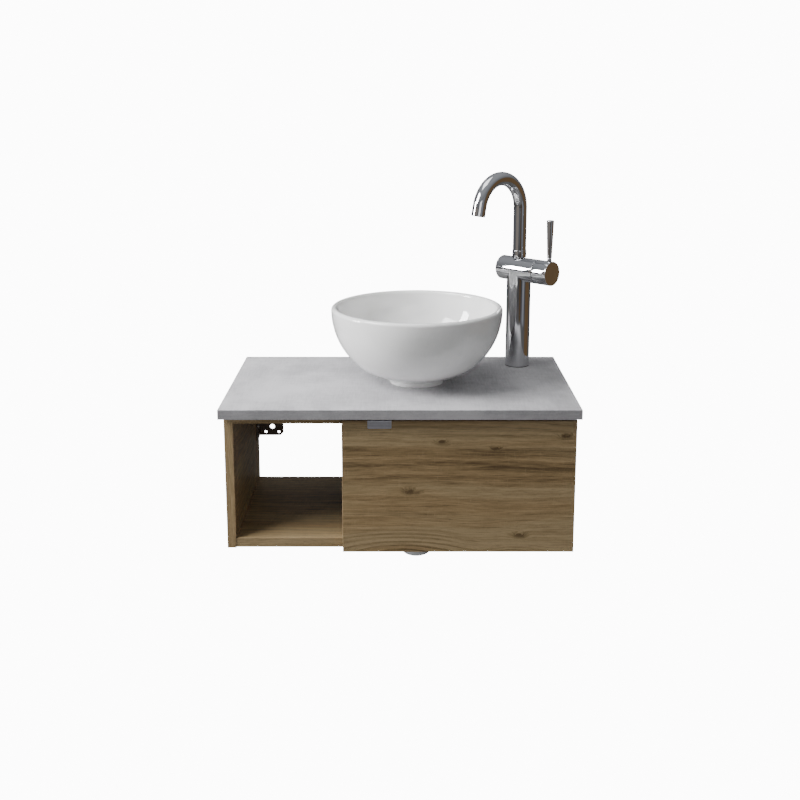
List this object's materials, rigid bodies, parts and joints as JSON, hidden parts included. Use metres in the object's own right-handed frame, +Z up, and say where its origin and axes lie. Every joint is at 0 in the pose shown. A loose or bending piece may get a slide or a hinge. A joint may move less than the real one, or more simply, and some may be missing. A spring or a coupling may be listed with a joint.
{
  "type": "vessel sink on vanity",
  "caption": "Wall-hung vanity with an open shelf and a hinged door, carrying a round vessel bowl and a tall swivel-spout mixer with a pin lever.",
  "frame": {"origin": "on the wall plane, midway between the two hanging holes of the steel brackets", "axes": "+Z up, -Y out of the wall towards the user (front), +X to the viewer's right"},
  "size_m": [0.6, 0.355, 0.6979],
  "materials": {
    "countertop_laminate": "matt concrete-look laminate, light warm grey with soft clouding",
    "oak_board": "matt oak-decor board with horizontal grain, upright on the front edges of the sides",
    "beech": "plain sanded beech",
    "dark_steel": "dark phosphated steel",
    "satin_aluminium": "satin anodised aluminium",
    "nickel_steel": "nickel-plated pressed steel",
    "zinc_screw": "zinc-plated steel",
    "glaze": "smooth white glaze",
    "chrome": "polished chrome",
    "brass": "machined brass",
    "rubber": "black rubber",
    "silicone": "translucent white silicone",
    "white_plastic": "white moulded plastic",
    "grey_plastic": "grey moulded plastic"
  },
  "bodies": {
    "vanity": {"countertop": "countertop_laminate", "countertop_edge_bands": "countertop_laminate", "side_panel_left": "oak_board", "side_panel_right": "oak_board", "partition_panel": "oak_board", "bottom_panel": "oak_board", "front_rail": "oak_board", "back_rail": "oak_board", "carcass_dowels": "beech", "countertop_screws": "zinc_screw", "wall_bracket_left": "dark_steel", "wall_bracket_right": "dark_steel", "wall_bracket_screws": "zinc_screw", "hinge_arm_pins": "nickel_steel", "hinge_arms": "nickel_steel", "hinge_mounting_plates": "nickel_steel", "hinge_screws": "zinc_screw", "bowl": "glaze", "bowl_gasket": "silicone", "drain_body": "chrome", "drain_upper_seal": "silicone", "drain_lower_seal": "rubber", "drain_nut": "brass", "drain_click_guide": "grey_plastic", "tailpiece": "chrome", "trap_body": "chrome", "trap_cup": "chrome", "trap_cup_seal": "rubber", "trap_inlet_nut": "chrome", "trap_inlet_seal": "rubber", "trap_dip_tube": "white_plastic", "trap_outlet_nut": "chrome", "trap_outlet_tube": "chrome", "mixer_body": "chrome", "mixer_base_seal": "rubber", "mixer_shank": "brass", "mixer_washer": "rubber", "mixer_nut": "brass", "mixer_inlet_block": "brass", "mixer_cartridge": "white_plastic", "mixer_cartridge_nut": "brass"},
    "hinge_link": {"hinge_links": "nickel_steel"},
    "door": {"door_panel": "oak_board", "door_handle": "satin_aluminium", "door_handle_screws": "zinc_screw", "door_bumpers": "silicone", "hinge_cups": "nickel_steel", "hinge_cup_screws": "zinc_screw", "hinge_cup_pins": "nickel_steel"},
    "plug": {"drain_plug": "chrome"},
    "spout": {"spout_tube": "chrome", "spout_collar": "chrome", "spout_seal_rings": "rubber", "aerator_housing": "chrome", "aerator_insert": "grey_plastic"},
    "turret": {"mixer_turret": "grey_plastic"},
    "handle": {"handle_hub": "chrome", "handle_lever": "chrome", "handle_grub_screw": "zinc_screw"}
  },
  "joints": [
    {"name": "hinge_link_turn", "type": "hinge", "parent": "vanity", "child": "hinge_link", "pos_m": [0.266, -0.331, 0.005], "axis": [0, 0, 1], "range_deg": [-28.2, 0]},
    {"name": "door_swing", "type": "hinge", "parent": "hinge_link", "child": "door", "pos_m": [0.286, -0.33, 0.005], "axis": [0, 0, 1], "range_deg": [0, 123]},
    {"name": "drain_plug_lift", "type": "slide", "parent": "vanity", "child": "plug", "axis": [0, 0, 1], "range_m": [0, 0.009]},
    {"name": "spout_swivel", "type": "hinge", "parent": "vanity", "child": "spout", "pos_m": [0.2225, -0.06, 0.345], "axis": [0, 0, 1], "range_deg": [-60, 60]},
    {"name": "handle_turn", "type": "hinge", "parent": "vanity", "child": "turret", "pos_m": [0.2225, -0.06, 0.3265], "axis": [0.7071, -0.7071, 0], "range_deg": [-45, 45]},
    {"name": "handle_tilt", "type": "hinge", "parent": "turret", "child": "handle", "pos_m": [0.25474, -0.09224, 0.3055], "axis": [0.7071, 0.7071, 0], "range_deg": [0, 20]}
  ],
  "couplings": [
    {"joint": "hinge_link_turn", "follows": "door_swing", "ratio": -0.22764}
  ]
}
